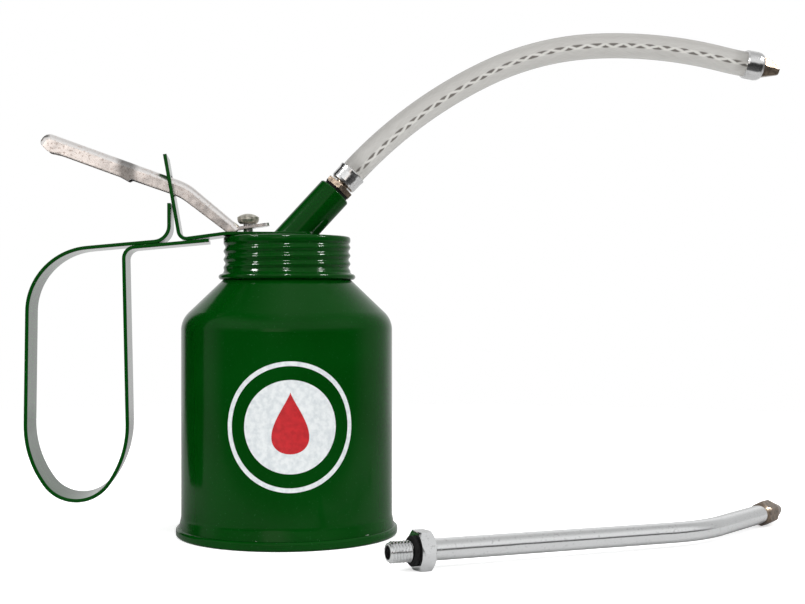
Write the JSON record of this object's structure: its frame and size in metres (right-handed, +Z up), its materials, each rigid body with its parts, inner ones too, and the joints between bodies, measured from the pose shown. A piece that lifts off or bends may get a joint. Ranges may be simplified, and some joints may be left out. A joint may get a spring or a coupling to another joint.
{
  "type": "hand oiler can",
  "caption": "Round sheet-metal oil can with a screw-on lever pump head, strip handle, braided flexible spout and a bent rigid spare spout.",
  "frame": {"origin": "centre of the can's base on the ground", "axes": "+Z up, +X towards the spout, -Y towards the badge"},
  "size_m": [0.3211, 0.1397, 0.2112],
  "materials": {
    "green_enamel": "gloss",
    "badge_print": "satin printed foil",
    "black_rubber": "matt",
    "chrome_lever": "bright plated pressing",
    "chrome_tube": "bright plated tube",
    "nickel_screw": "dull nickel",
    "rod_steel": "ground",
    "spring_steel": "drawn",
    "ball_steel": "polished",
    "pump_brass": "turned",
    "bronze_fitting": "dark bronzed",
    "ferrule_metal": "crimped, satin",
    "clear_hose": "clear with white braid",
    "cup_leather": "oiled",
    "gasket_cork": "oil-proof sheet"
  },
  "bodies": {
    "can": {"can_body": "green_enamel", "base_plate": "green_enamel", "neck_ring": "green_enamel", "label": "badge_print"},
    "cap_seal": {"cap_gasket": "gasket_cork"},
    "head": {"cap": "green_enamel", "lever_guide": "green_enamel", "handle_loop": "green_enamel", "pump_head": "pump_brass", "rod_bush": "pump_brass", "rod_seal": "black_rubber", "pump_barrel": "pump_brass", "return_spring": "spring_steel", "foot_valve_body": "pump_brass", "ball_retainer": "rod_steel", "dip_tube": "pump_brass", "strainer": "pump_brass", "spout_socket": "green_enamel", "delivery_tube": "pump_brass", "check_retainer": "rod_steel"},
    "thumb_lever": {"lever": "chrome_lever"},
    "plunger": {"rod_screw": "nickel_screw", "pump_rod": "rod_steel", "piston": "pump_brass", "piston_cup": "cup_leather", "piston_nut": "rod_steel"},
    "inlet_ball": {"foot_valve_ball": "ball_steel"},
    "outlet_ball": {"check_ball": "ball_steel"},
    "spout_seal": {"spout_washer": "black_rubber"},
    "spout_foot": {"hose_union": "bronze_fitting", "lower_ferrule": "ferrule_metal", "hose_lower": "clear_hose"},
    "spout_end": {"hose_upper": "clear_hose", "upper_ferrule": "ferrule_metal", "flexible_nozzle": "bronze_fitting"},
    "rigid_spout": {"rigid_tube": "chrome_tube", "rigid_nipple": "chrome_tube", "rigid_seal": "black_rubber", "rigid_nozzle": "bronze_fitting"}
  },
  "joints": [
    {"name": "cap_lift", "type": "slide", "parent": "can", "child": "cap_seal", "axis": [0, 0, 1], "range_m": [0, 0.01365]},
    {"name": "cap_turn", "type": "hinge", "parent": "cap_seal", "child": "head", "pos_m": [0, 0, 0.1235], "axis": [0, 0, 1], "range_deg": [0, 1440]},
    {"name": "lever_press", "type": "hinge", "parent": "head", "child": "thumb_lever", "pos_m": [-0.0464, 0, 0.1405], "axis": [0, -1, 0], "range_deg": [0, 18]},
    {"name": "plunger_lift", "type": "slide", "parent": "head", "child": "plunger", "axis": [0, 0, 1], "range_m": [0, 0.01034], "stiffness_N_per_m": 600, "springref_m": -0.006, "deforming": ["return_spring"]},
    {"name": "inlet_ball_lift", "type": "slide", "parent": "head", "child": "inlet_ball", "axis": [0, 0, 1], "range_m": [0, 0.0005]},
    {"name": "outlet_ball_lift", "type": "slide", "parent": "head", "child": "outlet_ball", "axis": [0.6756, 0, 0.7373], "range_m": [0, 0.0015]},
    {"name": "spout_rise", "type": "slide", "parent": "head", "child": "spout_seal", "axis": [0.6756, 0, 0.7373], "range_m": [0, 0.00755]},
    {"name": "spout_turn", "type": "hinge", "parent": "spout_seal", "child": "spout_foot", "pos_m": [0.02, 0, 0.1425], "axis": [0.6756, 0, 0.7373], "range_deg": [0, 2160]},
    {"name": "hose_bend", "type": "hinge", "parent": "spout_foot", "child": "spout_end", "pos_m": [0.10635, 0, 0.2014], "axis": [0, -1, 0], "range_deg": [-30, 30], "stiffness_Nm_per_rad": 0.6},
    {"name": "rigid_spout_away", "type": "slide", "parent": "can", "child": "rigid_spout", "axis": [0, -1, 0], "range_m": [0, 0.12]}
  ],
  "couplings": [
    {"joint": "cap_lift", "follows": "cap_turn", "m_per_rad": 0.00054113},
    {"joint": "lever_press", "follows": "plunger_lift", "rad_per_m": 30.377},
    {"joint": "spout_rise", "follows": "spout_turn", "m_per_rad": 0.00019894}
  ]
}
